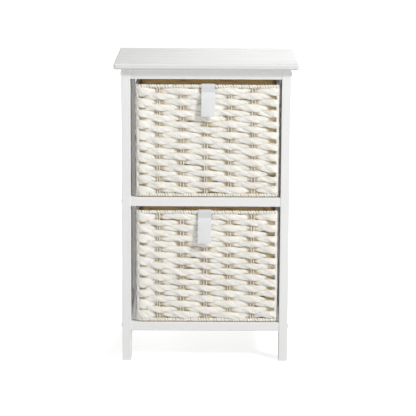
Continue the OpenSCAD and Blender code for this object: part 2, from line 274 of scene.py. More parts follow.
def stretched(tree, place, by):
    """A place multiplied by three numbers or by another vector."""
    made = add(tree, "ShaderNodeVectorMath", operation="MULTIPLY")
    feed(tree, made.inputs[0], place)
    feed(tree, made.inputs[1], by)
    return made.outputs[0]


def parts_of(tree, vector):
    """The three parts of a vector."""
    made = add(tree, "ShaderNodeSeparateXYZ")
    feed(tree, made.inputs[0], vector)
    return made.outputs


def own_place(tree):
    """The place in the piece's own coordinates."""
    return add(tree, "ShaderNodeTexCoord").outputs["Object"]


def group(name, inputs):
    """A shader node group with those inputs and with a colour, a roughness and a height as outputs."""
    kinds = {"float": "NodeSocketFloat", "vector": "NodeSocketVector", "colour": "NodeSocketColor"}
    tree = bpy.data.node_groups.new(name, "ShaderNodeTree")
    for socket, (kind, default) in inputs.items():
        made = tree.interface.new_socket(socket, in_out="INPUT", socket_type=kinds[kind])
        if default is not None:
            made.default_value = default
    for socket, kind in (("Colour", "colour"), ("Roughness", "float"), ("Height", "float")):
        tree.interface.new_socket(socket, in_out="OUTPUT", socket_type=kinds[kind])
    return tree, tree.nodes.new("NodeGroupInput").outputs, tree.nodes.new("NodeGroupOutput")


def give(tree, out, colour, roughness, height):
    """Sends a group's results to its output node."""
    feed(tree, out.inputs["Colour"], colour)
    feed(tree, out.inputs["Roughness"], roughness)
    feed(tree, out.inputs["Height"], height)


def use_group(tree, made, **values):
    """A node that holds a group, with its inputs' values."""
    node = add(tree, "ShaderNodeGroup", node_tree=made)
    for key, value in values.items():
        node.inputs[key.replace("_", " ")].default_value = value
    return node


def groove_mask(tree, across, deep):
    """Where a board's grooves lie, from a place across it and a depth under its top."""
    repeat = math_node(tree, "FRACT", math_node(tree, "DIVIDE", across, GROOVE_PITCH))
    aside = math_node(tree, "ABSOLUTE", math_node(tree, "SUBTRACT", repeat, 0.5))
    outer = (GROOVE_HALF + GROOVE_FADE) / GROOVE_PITCH
    near = fade(tree, aside, outer, GROOVE_HALF / GROOVE_PITCH)
    return math_node(tree, "MULTIPLY", near, fade(tree, deep, 0.00005, 0.0004))


def brushed_paint_group():
    """Paint over wood: brush lines along the grain, roller stipple, and painted shade that greys the grooves and
    the edges.
    """
    tree, given, out = group(
        "brushed_paint",
        {
            "Place": ("vector", None),
            "Lines": ("vector", (40.0, 40.0, 40.0)),
            "Colour": ("colour", (0.8, 0.8, 0.8, 1.0)),
            "Shade": ("colour", (0.7, 0.7, 0.7, 1.0)),
            # Grey of the painted shade in the grooves and on the edges
            "Groove": ("colour", (0.55, 0.55, 0.53, 1.0)),
            "Sunk below": ("float", -1.0),
        },
    )
    _, across, height = parts_of(tree, given["Place"])
    deep = math_node(tree, "SUBTRACT", given["Sunk below"], height)
    # Painted shade: the board's faces more than two millimetres below its top are darkened
    edge = fade(tree, deep, EDGE_FROM, EDGE_FROM + EDGE_FADE, end=EDGE_PAINTED_SHADE)
    painted_shade = math_node(tree, "MAXIMUM", groove_mask(tree, across, deep), edge)
    lines = noise(tree, stretched(tree, given["Place"], given["Lines"]), 1.0, 4.0, 0.6)
    stipple = noise(tree, given["Place"], 900.0, 2.0)
    clouds = noise(tree, given["Place"], 7.0, 3.0)
    brushed = fade(tree, lines, 0.55, 0.8, end=0.35)
    clouded = fade(tree, clouds, 0.35, 0.75, end=0.3)
    uneven = math_node(tree, "ADD", brushed, clouded, clamp=True)
    colour = blend_colours(tree, uneven, given["Colour"], given["Shade"])
    # Painted shade: grooves and edges take the darker groove colour
    colour = blend_colours(tree, painted_shade, colour, given["Groove"])
    relief = math_node(tree, "ADD", lines, math_node(tree, "MULTIPLY", stipple, 0.35))
    give(tree, out, colour, fade(tree, lines, 0.3, 0.7, 0.5, 0.62), relief)
    return tree


def wound_noise(tree, thread, around, along, detail):
    """The value of a noise that is stretched along a strand, from the strand's own four coordinates."""
    made = add(tree, "ShaderNodeTexNoise", noise_dimensions="4D")
    made.inputs["Scale"].default_value = 1.0
    made.inputs["Detail"].default_value = detail
    made.inputs["Roughness"].default_value = 0.6
    made.inputs["Distortion"].default_value = 0.6
    place = stretched(tree, thread.outputs["Vector"], (around, around, along))
    feed(tree, made.inputs["Vector"], place)
    feed(tree, made.inputs["W"], math_node(tree, "MULTIPLY", thread.outputs["Alpha"], along))
    return made.outputs["Fac"]


def paper_soil_and_shade(tree, across, crease, fibres, crumple):
    """How far the paint's tone goes to cream: painted shade at a strand's edges and in its creases, and random
    tone in its fibres, spots and specks.
    """
    broad = noise(tree, own_place(tree), 28.0, 2.0)
    # Painted shade: a strand's top and bottom edges, where rows meet, turn to cream
    edge = fade(tree, math_node(tree, "ABSOLUTE", across), 0.6, 1.05, end=0.8)
    dull = fade(tree, fibres, 0.5, 0.75, end=0.1)
    # Painted shade along the creases of the folds
    crease_shade = math_node(tree, "MULTIPLY", crease, 0.12)
    spots = fade(tree, broad, 0.5, 0.8, end=0.08)
    specks = fade(tree, crumple, 0.52, 0.7, end=0.22)
    marks = math_node(tree, "ADD", math_node(tree, "ADD", crease_shade, spots), specks)
    return math_node(tree, "ADD", math_node(tree, "ADD", edge, dull), marks, clamp=True)


def paper_fibre_group():
    """Twisted paper: folds and fibres wind round the strand, painted outside and bare in the depths, with painted
    shade in its creases and at its edges, and painted light on the bare paper inside the basket.
    """
    tree, given, out = group(
        "paper_fibre",
        {
            "Paint": ("colour", (0.945, 0.93, 0.875, 1.0)),
            # Warm cream of the painted shade at edges and creases, also used for random tone
            "Cream": ("colour", (0.76, 0.68, 0.51, 1.0)),
            "Kraft": ("colour", (0.55, 0.42, 0.245, 1.0)),
            "Pale kraft": ("colour", (0.8, 0.68, 0.47, 1.0)),
            # A brighter, warmer copy of the bare kraft for the inside of the basket: painted light
            "Inside": ("colour", (0.7, 0.43, 0.155, 1.0)),
            "Pale inside": ("colour", (0.92, 0.65, 0.29, 1.0)),
            "Bare depth": ("float", -1.1),
            "Painted depth": ("float", -0.1),
        },
    )
    thread = add(tree, "ShaderNodeAttribute", attribute_name="thread")
    lay = add(tree, "ShaderNodeAttribute", attribute_name="lay")
    across, depth, tone = parts_of(tree, lay.outputs["Vector"])
    folds = wound_noise(tree, thread, 1.5, 26.0, 2.0)
    fibres = wound_noise(tree, thread, 5.0, 70.0, 4.0)
    crumple = noise(tree, own_place(tree), 420.0, 2.0)
    patches = noise(tree, own_place(tree), 150.0, 3.0, 0.6)
    off_middle = math_node(tree, "ABSOLUTE", math_node(tree, "SUBTRACT", folds, 0.5))
    crease = fade(tree, off_middle, 0.07, 0.0)
    # Cream at strand edges and creases is painted shade; the rest is random tone
    soiled_and_shaded = paper_soil_and_shade(tree, across, crease, fibres, crumple)
    paint = blend_colours(tree, soiled_and_shaded, given["Paint"], given["Cream"])
    grain = fade(tree, fibres, 0.35, 0.7)
    outer = blend_colours(tree, grain, given["Kraft"], given["Pale kraft"])
    inner = blend_colours(tree, grain, given["Inside"], given["Pale inside"])
    # Bare paper inside takes the painted-light copy; bare paper in the outer gaps takes the duller copy
    bare = blend_colours(tree, fade(tree, depth, -3.4, -2.6), inner, outer)
    ragged = math_node(tree, "MULTIPLY", math_node(tree, "SUBTRACT", patches, 0.5), 1.8)
    reached = math_node(tree, "ADD", depth, ragged)
    painted = fade(tree, reached, given["Bare depth"], given["Painted depth"])
    toned = add(tree, "ShaderNodeHueSaturation")
    feed(tree, toned.inputs["Color"], blend_colours(tree, painted, bare, paint))
    feed(tree, toned.inputs["Value"], fade(tree, tone, 0.0, 1.0, 0.96, 1.03))
    relief = math_node(tree, "ADD", folds, math_node(tree, "MULTIPLY", fibres, 0.3))
    relief = math_node(tree, "SUBTRACT", relief, math_node(tree, "MULTIPLY", crease, 0.25))
    relief = math_node(tree, "ADD", relief, math_node(tree, "MULTIPLY", crumple, 0.8))
    give(tree, out, toned.outputs["Color"], fade(tree, fibres, 0.3, 0.8, 0.72, 0.92), relief)
    return tree


def woven_tape_group():
    """Cotton webbing: a fine twill of two thread directions, with painted shade in the valleys of its ribs and on
    the loop over the seam.
    """
    tree, given, out = group(
        "woven_tape",
        {
            "Colour": ("colour", (0.8, 0.8, 0.82, 1.0)),
            # Grey of the painted shade in the valleys between ribs, also used for random wear
            "Shade": ("colour", (0.62, 0.62, 0.66, 1.0)),
            # Grey of the painted shade on the loop over the seam
            "Loop": ("colour", (0.655, 0.66, 0.67, 1.0)),
            "Threads": ("float", 1500.0),
        },
    )
    cloth = add(tree, "ShaderNodeAttribute", attribute_name="cloth")
    across, up, _ = parts_of(tree, cloth.outputs["Vector"])
    along = math_node(tree, "MULTIPLY", across, given["Threads"])
    over = math_node(tree, "MULTIPLY", up, given["Threads"])
    warp = math_node(tree, "SINE", math_node(tree, "ADD", along, over))
    weft = math_node(tree, "SINE", math_node(tree, "MULTIPLY", over, 2.0))
    ribs = math_node(tree, "MULTIPLY", math_node(tree, "ADD", warp, weft), 0.25)
    ribs = math_node(tree, "ADD", ribs, 0.5)
    fuzz = noise(tree, own_place(tree), 160.0, 4.0, 0.6)
    # Painted shade in the valleys between the threads
    rib_shade = fade(tree, ribs, 0.45, 0.0, end=0.3)
    worn = fade(tree, fuzz, 0.5, 0.8, end=0.2)
    rib_shade_and_wear = math_node(tree, "ADD", rib_shade, worn, clamp=True)
    # Painted shade: the webbing above the front seam, round the loop, is greyer
    loop_shade = fade(tree, up, -0.0003, 0.0003)
    plain = blend_colours(tree, loop_shade, given["Colour"], given["Loop"])
    colour = blend_colours(tree, rib_shade_and_wear, plain, given["Shade"])
    give(tree, out, colour, fade(tree, fuzz, 0.3, 0.7, 0.78, 0.92), ribs)
    return tree


def raise_relief(tree, shader, height, strength, distance):
    """Turns a height into the shader's normal."""
    relief = add(tree, "ShaderNodeBump", Strength=strength, Distance=distance)
    feed(tree, relief.inputs["Height"], height)
    feed(tree, shader.inputs["Normal"], relief.outputs["Normal"])


def dress(tree, shader, node, strength, distance):
    """Joins a group's colour, roughness and height to a Principled shader."""
    feed(tree, shader.inputs["Base Color"], node.outputs["Colour"])
    feed(tree, shader.inputs["Roughness"], node.outputs["Roughness"])
    raise_relief(tree, shader, node.outputs["Height"], strength, distance)


def two_tone(tree, shader, value, colours, span, roughness):
    """A shader that goes between two colours and, over a span of the value, between two roughnesses."""
    feed(tree, shader.inputs["Base Color"], blend_colours(tree, value, *colours))
    feed(tree, shader.inputs["Roughness"], fade(tree, value, *span, *roughness))


def white_paint(name, group_tree, lines, sunk_below=-1.0):
    """Satin white paint whose brush lines follow the wood's length, with painted shade in the grooves and on the
    edges under a height.
    """
    mat, tree, shader = material(name)
    colours = {"Colour": (0.8, 0.8, 0.79, 1), "Shade": (0.75, 0.75, 0.735, 1)}
    node = use_group(tree, group_tree, Lines=lines, Sunk_below=sunk_below, **colours)
    feed(tree, node.inputs["Place"], own_place(tree))
    dress(tree, shader, node, 0.12, 0.0003)
    shader.inputs["Specular IOR Level"].default_value = 0.35
    return mat


def paper_strand(name, group_tree, bare, painted):
    """Paper rope, painted from the outside down to a depth in millimetres."""
    mat, tree, shader = material(name)
    node = use_group(tree, group_tree, Bare_depth=bare, Painted_depth=painted)
    dress(tree, shader, node, 0.7, 0.0022)
    shader.inputs["Specular IOR Level"].default_value = 0.25
    return mat


def cotton_tape(group_tree):
    """White cotton webbing of the pull straps."""
    mat, tree, shader = material("cotton_tape")
    node = use_group(tree, group_tree, Colour=(0.735, 0.74, 0.74, 1))
    dress(tree, shader, node, 0.35, 0.0002)
    shader.inputs["Specular IOR Level"].default_value = 0.2
    return mat


def sewing_thread():
    """Twisted white thread of the straps' seams, with painted shade in its twist."""
    mat, tree, shader = material("sewing_thread")
    twist = add(tree, "ShaderNodeTexWave", Scale=700.0, Distortion=1.0, bands_direction="DIAGONAL")
    feed(tree, twist.inputs["Vector"], own_place(tree))
    # Grey diagonal bands are painted shade between the thread's twisted plies
    colours = ((0.62, 0.62, 0.65), (0.78, 0.78, 0.8))
    two_tone(tree, shader, twist.outputs["Fac"], colours, (0.0, 1.0), (0.6, 0.8))
    return mat


def zinc_steel():
    """Zinc-plated steel of the screws and the baskets' wires."""
    mat, tree, shader = material("zinc_steel")
    streaks = noise(tree, own_place(tree), 300.0, 4.0)
    two_tone(tree, shader, streaks, ((0.52, 0.52, 0.53), (0.68, 0.68, 0.68)), (0.3, 0.7), (0.3, 0.48))
    shader.inputs["Metallic"].default_value = 1.0
    return mat


def plain_beech():
    """Bare beech of the dowels, with its short flecks."""
    mat, tree, shader = material("plain_beech")
    turned = add(tree, "ShaderNodeMapping", Scale=(600.0, 60.0, 600.0))
    feed(tree, turned.inputs["Vector"], own_place(tree))
    flecks = noise(tree, turned.outputs[0], 1.0, 4.0)
    two_tone(tree, shader, flecks, ((0.42, 0.27, 0.14), (0.6, 0.42, 0.25)), (0.3, 0.7), (0.55, 0.7))
    return mat


def moulded_cap():
    """Satin white plastic of the screw caps, with a fine moulded grain."""
    mat, tree, shader = material("moulded_cap")
    grain = noise(tree, own_place(tree), 1200.0, 2.0)
    two_tone(tree, shader, grain, ((0.77, 0.77, 0.765), (0.82, 0.82, 0.815)), (0.3, 0.7), (0.36, 0.46))
    raise_relief(tree, shader, grain, 0.1, 0.0002)
    return mat


class Basket:
    """Where a basket stands, and the way round the middle of its wall."""

    def __init__(self, name, seed):
        self.name = name
        self.body = f"{name}_drawer"
        foot_lo, foot_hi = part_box(f"{name}_foot")
        rim_lo, rim_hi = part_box(f"{name}_rim")
        self.foot_z = (foot_lo.z + foot_hi.z) / 2
        self.foot_r = (foot_hi.z - foot_lo.z) / 2
        self.rim_z = (rim_lo.z + rim_hi.z) / 2
        self.rim_r = (rim_hi.z - rim_lo.z) / 2
        self.middle_x = (rim_lo.x + rim_hi.x) / 2
        self.middle_y = (rim_lo.y + rim_hi.y) / 2
        self.half_x = (rim_hi.x - rim_lo.x) / 2 - WALL / 2
        self.half_y = (rim_hi.y - rim_lo.y) / 2 - WALL / 2
        self.bend = BASKET_CORNER - WALL / 2
        strap_lo, strap_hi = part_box(f"{name}_strap")
        self.strap_side = (strap_lo.x + strap_hi.x) / 2 - self.middle_x
        self.chance = np.random.default_rng(seed)
        self.lay_out()
        self.place_stakes()
        self.tables = chance_tables(self)

    def lay_out(self):
        """Lists the straights and bends on the way round, from the middle of the front."""
        flat_x, flat_y = self.half_x - self.bend, self.half_y - self.bend
        quarter = self.bend * math.pi / 2
        lengths = [flat_x, quarter, 2 * flat_y, quarter, 2 * flat_x, quarter, 2 * flat_y, quarter, flat_x]
        self.runs = []
        at, x, y, heading = 0.0, self.middle_x, self.middle_y - self.half_y, 0.0
        for place, length in enumerate(lengths):
            bent = place % 2 == 1
            self.runs.append((at, at + length, x, y, heading, bent))
            if bent:
                x += self.bend * (math.sin(heading + math.pi / 2) - math.sin(heading))
                y += self.bend * (math.cos(heading) - math.cos(heading + math.pi / 2))
                heading += math.pi / 2
            else:
                x += length * math.cos(heading)
                y += length * math.sin(heading)
            at += length
        self.around = at

    def place_stakes(self):
        """Lists where the stake pairs and the corners' uprights stand on the way round."""
        around = self.around
        flat_x, flat_y = self.half_x - self.bend, self.half_y - self.bend
        quarter = self.bend * math.pi / 2
        front = [STAKE_SIDE + k * STAKE_PITCH for k in FRONT_STAKES]
        back = [around / 2 - x for x in front]
        side_middle = flat_x + quarter + flat_y
        side = [side_middle + k * STAKE_PITCH for k in SIDE_STAKES]
        bends = [flat_x, around / 2 - flat_x]
        side += [around - s for s in side]
        bends += [around - s for s in bends]
        self.stakes = sorted(s % around for s in front + back + side + bends)
        self.loose = self.stakes.index(flat_x)
        self.corners = [flat_x + quarter / 2, around / 2 - flat_x - quarter / 2]
        self.corners += [around - c for c in reversed(self.corners)]

    def cornered(self, at):
        """Whether a place on the way round is at one of the corners' uprights."""
        return min(abs(at - c) for c in self.corners) < NEAR_CORNER

    def count(self, along):
        """How many stakes lie behind each place on the way round, as a smooth number."""
        places = [self.stakes[-1] - self.around] + self.stakes + [self.stakes[0] + self.around]
        return np.interp(along % self.around, places, range(-1, len(self.stakes) + 1))

    def place(self, along, up, out):
        """Points at a distance round the wall, a height and a distance outwards from its middle."""
        along = along % self.around
        x, y = np.zeros_like(along), np.zeros_like(along)
        turned = np.zeros_like(along)
        for start, end, x0, y0, heading, bent in self.runs:
            here = (along >= start) & (along <= end)
            gone = along[here] - start
            if bent:
                now = heading + gone / self.bend
                x[here] = x0 + self.bend * (np.sin(now) - math.sin(heading))
                y[here] = y0 + self.bend * (math.cos(heading) - np.cos(now))
                turned[here] = now
            else:
                x[here] = x0 + gone * math.cos(heading)
                y[here] = y0 + gone * math.sin(heading)
                turned[here] = heading
        return np.stack([x + out * np.sin(turned), y - out * np.cos(turned), up], 1)


def chance_tables(basket):
    """The small differences between strands and between floats of one basket."""
    each_float = (ROWS, len(basket.stakes))
    chance = basket.chance
    snug = [CORNER_SNUG * basket.cornered(s) for s in basket.stakes]
    snug[basket.loose] = LOOSE_SNUG
    behind = [BACK_SNUG * (abs(s - basket.around / 2) < basket.half_x) for s in basket.stakes]
    swell = chance.normal(0, SWELL_SPREAD, each_float) + snug
    swell[BACK_SNUG_FROM:] += behind
    lift = chance.normal(0, LIFT_SPREAD, each_float)
    # Every fourth of the rows, counted so that they pass behind the loose stake
    open_from = (basket.loose + 1) % 2 + 2
    swell[open_from::OPEN_EVERY, basket.loose] -= OPEN_THIN
    lift[open_from::OPEN_EVERY, basket.loose] -= OPEN_SUNK
    return {
        "start": chance.random(ROWS),
        "level": chance.normal(0, LEVEL_SPREAD, ROWS),
        "swell": swell,
        "lift": lift,
        "sag": chance.normal(0, SAG_SPREAD, each_float),
        "flat": [chance.normal(0, spread, each_float) for spread in BASE_SPREADS],
    }


def draw_out(bm, length, steps):
    """Draws all that a mesh holds out along X, in equal steps."""
    bmesh.ops.spin(
        bm,
        geom=bm.verts[:] + bm.edges[:],
        cent=(0, 0, 0),
        axis=(1, 0, 0),
        dvec=(length / steps, 0, 0),
        angle=0.0,
        space=Matrix.Identity(4),
        steps=steps,
        use_merge=False,
        use_normal_flip=False,
        use_duplicate=False,
    )


def mesh_of(bm, name):
    """A new mesh that holds what was built, which is then freed."""
    mesh = bpy.data.meshes.new(name)
    bm.to_mesh(mesh)
    bm.free()
    return mesh


def points_of(mesh):
    """A mesh's points as an array."""
    spots = np.zeros(len(mesh.vertices) * 3)
    mesh.vertices.foreach_get("co", spots)
    return spots.reshape(-1, 3)


def strands(length, steps, sides, count):
    """Tubes drawn out along X from a ring, with each point's place along, angle round and tube number."""
    bm = bmesh.new()
    upright = Matrix.Rotation(math.pi / 2, 4, "Y")
    bmesh.ops.create_circle(bm, cap_ends=False, radius=1.0, segments=sides, matrix=upright)
    draw_out(bm, length, steps)
    one = bpy.data.meshes.new("one_strand")
    bm.to_mesh(one)
    for _ in range(count - 1):
        bm.from_mesh(one)
    mesh = mesh_of(bm, "strands")
    spots = points_of(mesh)
    which = np.arange(len(spots)) // len(one.vertices)
    along = np.rint(spots[:, 0] / length * steps) * length / steps
    return mesh, along, np.arctan2(spots[:, 2], spots[:, 1]), which


def settle(mesh, points, **attributes):
    """Moves a mesh's points, keeps the values that its materials read, and closes its seams."""
    mesh.vertices.foreach_set("co", np.ascontiguousarray(points, np.float32).ravel())
    held = np.zeros(len(mesh.loops), np.int32)
    mesh.loops.foreach_get("vertex_index", held)
    for name, values in attributes.items():
        kept = mesh.attributes.new(name, "FLOAT_COLOR", "CORNER")
        kept.data.foreach_set("color", np.ascontiguousarray(values[held], np.float32).ravel())
    bm = bmesh.new()
    bm.from_mesh(mesh)
    bmesh.ops.remove_doubles(bm, verts=bm.verts, dist=2e-6)
    ends = [e for e in bm.edges if e.is_boundary]
    if ends:
        bmesh.ops.holes_fill(bm, edges=ends, sides=0)
    bmesh.ops.recalc_face_normals(bm, faces=bm.faces)
    for face in bm.faces:
        face.smooth = True
    bm.to_mesh(mesh)
    bm.free()


def piece(name, mesh, mat, body, slot, *nodes):
    """Puts a finished mesh into the scene on its body, in the place of CAD nodes."""
    mesh.name = name
    made = bpy.data.objects.new(name, mesh)
    bpy.context.collection.objects.link(made)
    made.data.materials.append(mat)
    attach(made, body)
    if nodes:
        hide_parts(*nodes)
    return made


def eased(table, counted):
    """Values of a table with one row per strand, eased from stake to stake."""
    row, stakes = counted
    first = np.floor(stakes).astype(int)
    share = (1 - np.cos(np.pi * (stakes - first))) / 2
    wide = table.shape[1]
    return table[row, first % wide] * (1 - share) + table[row, (first + 1) % wide] * share


def wound(turned, gone, length, apart):
    """A strand's own coordinates: round it after its twist, and along it, which ends where it began."""
    circle = 2 * np.pi * gone / length
    reach = length / (2 * np.pi)
    along = (reach * np.cos(circle) + apart, reach * np.sin(circle))
    return np.stack([np.cos(turned), np.sin(turned), *along], 1)


def lie(across, out, faces_out, tone):
    """How a surface lies: part of the strand's height, the paint's depth in millimetres, and its shade."""
    depth = out * 1000 - INNER_FACE_DROP * ((1 - faces_out) / 2) ** 3
    return np.stack([across, depth, tone, np.ones_like(depth)], 1)


def strand_points(counted, middle, swings, turn, chance_rows, angle, turned):
    """Height, distance outwards and part of the strand's height, of strands over and under stakes."""
    row, stakes = counted
    wave = np.cos(np.pi * (stakes + row))
    flat = np.abs(wave)
    swell, lift, sag = (eased(t, counted) for t in chance_rows)
    grown = CROSSING_HEIGHT + (FLOAT_HEIGHT - CROSSING_HEIGHT) * flat**FLOAT_GROWTH
    tall = grown / 2 * (1 + swell)
    thick = STRAND_THICK / 2 * (0.9 + 0.1 * flat)
    out = np.where(wave > 0, swings[0], -swings[1]) * flat**SWING_GROWTH + lift
    up = middle + sag - STRAND_TILT * np.sin(np.pi * (stakes + row))
    ply_up = up + PLY_OFFSET * tall * np.cos(turn)
    ply_out = out + PLY_OFFSET * thick * np.sin(turn)
    puffed = 1 + 0.07 * np.cos(2 * turned) + 0.05 * np.sin(turned + 2 * np.pi * stakes)
    high = ply_up + PLY_SIZE * tall * puffed * np.cos(angle)
    far = ply_out + PLY_SIZE * thick * puffed * np.sin(angle)
    return high, far, (high - up) / tall


def row_middles(basket, row):
    """The height of the middle of each row of the wall."""
    bottom = basket.foot_z + basket.foot_r * FIRST_ROW_UP
    top = basket.rim_z - basket.rim_r
    pitch = (top - bottom) / ROWS
    return bottom + (row + 0.5) * pitch + basket.tables["level"][row]


def strap_press(basket, row, along):
    """How much the strap presses on the top row, from 0 to 1."""
    half = basket.around / 2
    aside = (along - basket.strap_side + half) % basket.around - half
    return (row == ROWS - 1) * np.exp(-((aside / PRESSED_WIDE) ** 4))


def wall_weave(basket, mat, share):
    """The rows of strands of one share of the wall, each of three plies twisted together."""
    rows = [r for r in range(ROWS) if r % WEAVE_SHARES == share]
    steps = round(basket.around / RING_STEP)
    mesh, along, angle, which = strands(basket.around, steps, STRAND_SIDES, len(rows) * PLIES)
    row = np.array(rows)[which // PLIES]
    ply = which % PLIES
    tables = basket.tables
    counted = (row, basket.count(along))
    turns = round(basket.around / TWIST_LENGTH)
    turn = 2 * np.pi * (ply / PLIES + turns * along / basket.around + tables["start"][row])
    pressed = strap_press(basket, row, along)
    middle = row_middles(basket, row) - PRESSED_DOWN * pressed
    chance_rows = (tables["swell"], tables["lift"], tables["sag"])
    fibre_turns = round(basket.around / FIBRE_TWIST_LENGTH)
    turned = angle - 2 * np.pi * fibre_turns * along / basket.around
    swings = (STRAND_SWING, INWARD_SWING)
    up, out, across = strand_points(counted, middle, swings, turn, chance_rows, angle, turned)
    out = out - PRESSED_IN * pressed
    tone = basket.chance.random(len(rows) * PLIES)[which]
    lay = lie(across, out, np.sin(angle), tone)
    thread = wound(turned, along, basket.around, which * STRAND_APART)
    settle(mesh, basket.place(along, up, out), lay=lay, thread=thread)
    name = f"{basket.name}_weave_{share + 1}"
    piece(name, mesh, mat, basket.body, "weave", f"{basket.name}_walls")


def border_wrap(basket, mat, end, middle, radius):
    """A border's paper cord, one closed coil wound tightly round the core."""
    around = basket.around
    turns = round(around / WRAP_PITCH)
    pitch = around / turns
    mesh, along, angle, which = strands(pitch, WRAP_STEPS, CORD_SIDES, turns)
    along = along + which * pitch
    turn = 2 * np.pi * along / pitch
    cord = radius * WRAP_CORD
    reach = radius - cord + cord * np.sin(angle)
    wander = WRAP_WANDER * np.sin(along * 2 * np.pi * WANDER_WAVES / around)
    shift = along + pitch * WRAP_LEAN * np.cos(angle) + wander
    up = middle + reach * np.cos(turn)
    out = reach * np.sin(turn)
    tone = 0.5 + 0.4 * np.sin(2 * np.pi * TONE_WAVES * along / around)
    # Painted shade: the underside of the foot border is left bare and dark
    under = UNDER_PAINTED_SHADE * np.clip(-np.cos(turn), 0, 1) * (end == "foot")
    # Painted shade: cream where each turn touches its neighbour
    edge = np.abs(np.cos(angle)) * WRAP_CREVICE_SHADE
    lay = lie(edge, out + WRAP_PAINTED - under, np.ones_like(out), tone)
    thread = wound(angle, along * 2 * np.pi * radius / pitch, around * 2 * np.pi * radius / pitch, 0.0)
    settle(mesh, basket.place(shift, up, out), lay=lay, thread=thread)
    piece(f"{basket.name}_{end}_wrap", mesh, mat, basket.body, "weave", f"{basket.name}_{end}")


def border_core(basket, mat, end, middle, radius):
    """The core of a border, which shows between the turns of its cord."""
    steps = round(basket.around / RING_STEP)
    mesh, along, angle, _ = strands(basket.around, steps, STRAND_SIDES, 1)
    inner = radius * BORDER_CORE
    up = middle + inner * np.cos(angle)
    out = inner * np.sin(angle)
    # The core takes nearly the full edge cream all round: painted shade, as it shows only deep between the turns
    lay = lie(np.ones_like(up), out + 0.001, np.ones_like(up), np.full_like(up, 0.3))
    thread = wound(angle, along, basket.around, 0.0)
    settle(mesh, basket.place(along, up, out), lay=lay, thread=thread)
    piece(f"{basket.name}_{end}_core", mesh, mat, basket.body, "weave", f"{basket.name}_{end}")


def stake_pairs(basket, mat):
    """Upright paper cords in pairs, and the wrapped uprights in the corners."""
    length = basket.rim_z - basket.foot_z
    upright = [s for s in basket.stakes if not basket.cornered(s)]
    places = [s + side * STAKE_SPLIT / 2 for s in upright for side in (-1, 1)]
    wide = [STAKE_R] * len(places) + [CORNER_R] * len(basket.corners)
    proud = np.array([STAKE_OUT] * len(places) + [CORNER_OUT] * len(basket.corners))
    places = np.array(places + basket.corners)
    mesh, along, angle, which = strands(length, STAKE_STEPS, CORD_SIDES, len(places))
    sway = STAKE_SWAY * np.sin(along * 40 + which * 1.7)
    ridge = 1 + 0.1 * np.sin(2 * angle + along * STAKE_TWIST)
    radius = np.array(wide)[which] * ridge
    round_at = places[which] + sway + radius * np.cos(angle)
    out = proud[which] + radius * np.sin(angle)
    edge = np.full_like(out, STAKE_EDGE)
    lay = lie(edge, out + STAKE_R, np.sin(angle), (which * STAKE_TONE) % 1)
    thread = wound(angle + along * STAKE_TWIST, along, 2 * length, which * STRAND_APART)
    settle(mesh, basket.place(round_at, basket.foot_z + along, out), lay=lay, thread=thread)
    piece(f"{basket.name}_stake_pairs", mesh, mat, basket.body, "stake", f"{basket.name}_stakes")


def base_strands(basket, mat, half_x, half_y):
    """The base's strands, which run from side to side over and under its stakes."""
    rows = round(2 * half_y / BASE_ROW)
    pitch = 2 * half_y / rows
    mesh, along, angle, which = strands(2 * half_x, BASE_STEPS, CORD_SIDES, rows * PLIES)
    row, ply = which // PLIES, which % PLIES
    x = along - half_x
    # Ten more, so that no stake's number is below zero
    counted = (row, (x - STAKE_SIDE) / STAKE_PITCH + 10)
    start = basket.tables["start"][row % ROWS] * BASE_START
    turn = 2 * np.pi * (ply / PLIES + along / TWIST_LENGTH) + start
    middle = -half_y + (row + 0.5) * pitch
    still = tuple(t[np.arange(rows) % ROWS] * BASE_CHANCE for t in basket.tables["flat"])
    turned = angle - 2 * np.pi * along / FIBRE_TWIST_LENGTH
    swings = (BASE_SWING, BASE_SWING)
    across, down, edge = strand_points(counted, middle, swings, turn, still, angle, turned)
    near_end = np.clip(1 - (half_y - np.abs(middle)) / BASKET_CORNER, 0, 1)
    inset = BASKET_CORNER * near_end**2 * BASE_INSET
    x = x * (half_x - inset) / half_x
    up = basket.foot_z + BASE_UP - down * BASE_FLAT
    points = np.stack([basket.middle_x + x, basket.middle_y + across, up], 1)
    lay = lie(edge, down - 0.0002, np.sin(angle), (which * BASE_TONE) % 1)
    thread = wound(turned, along, 4 * half_x, which * STRAND_APART)
    settle(mesh, points, lay=lay, thread=thread)
    piece(f"{basket.name}_woven_base", mesh, mat, basket.body, "weave", f"{basket.name}_base")


def base_stakes(basket, mat, half_y):
    """The base's stakes, in pairs from front to back."""
    columns = [k * STAKE_PITCH + side * STAKE_SPLIT / 2 for k in FRONT_STAKES for side in (-1, 1)]
    mesh, along, angle, which = strands(2 * half_y, BASE_STAKE_STEPS, CORD_SIDES, len(columns))
    x = basket.middle_x + STAKE_SIDE + np.array(columns)[which] + STAKE_R * np.cos(angle)
    y = basket.middle_y - half_y + along
    up = basket.foot_z + BASE_UP + STAKE_R * np.sin(angle)
    lay = lie(np.zeros_like(angle), -STAKE_R * np.sin(angle), -np.sin(angle), (which * STAKE_TONE) % 1)
    thread = wound(angle + along * STAKE_TWIST, along, 4 * half_y, which * STRAND_APART)
    settle(mesh, np.stack([x, y, up], 1), lay=lay, thread=thread)
    piece(f"{basket.name}_base_stakes", mesh, mat, basket.body, "stake", f"{basket.name}_base")


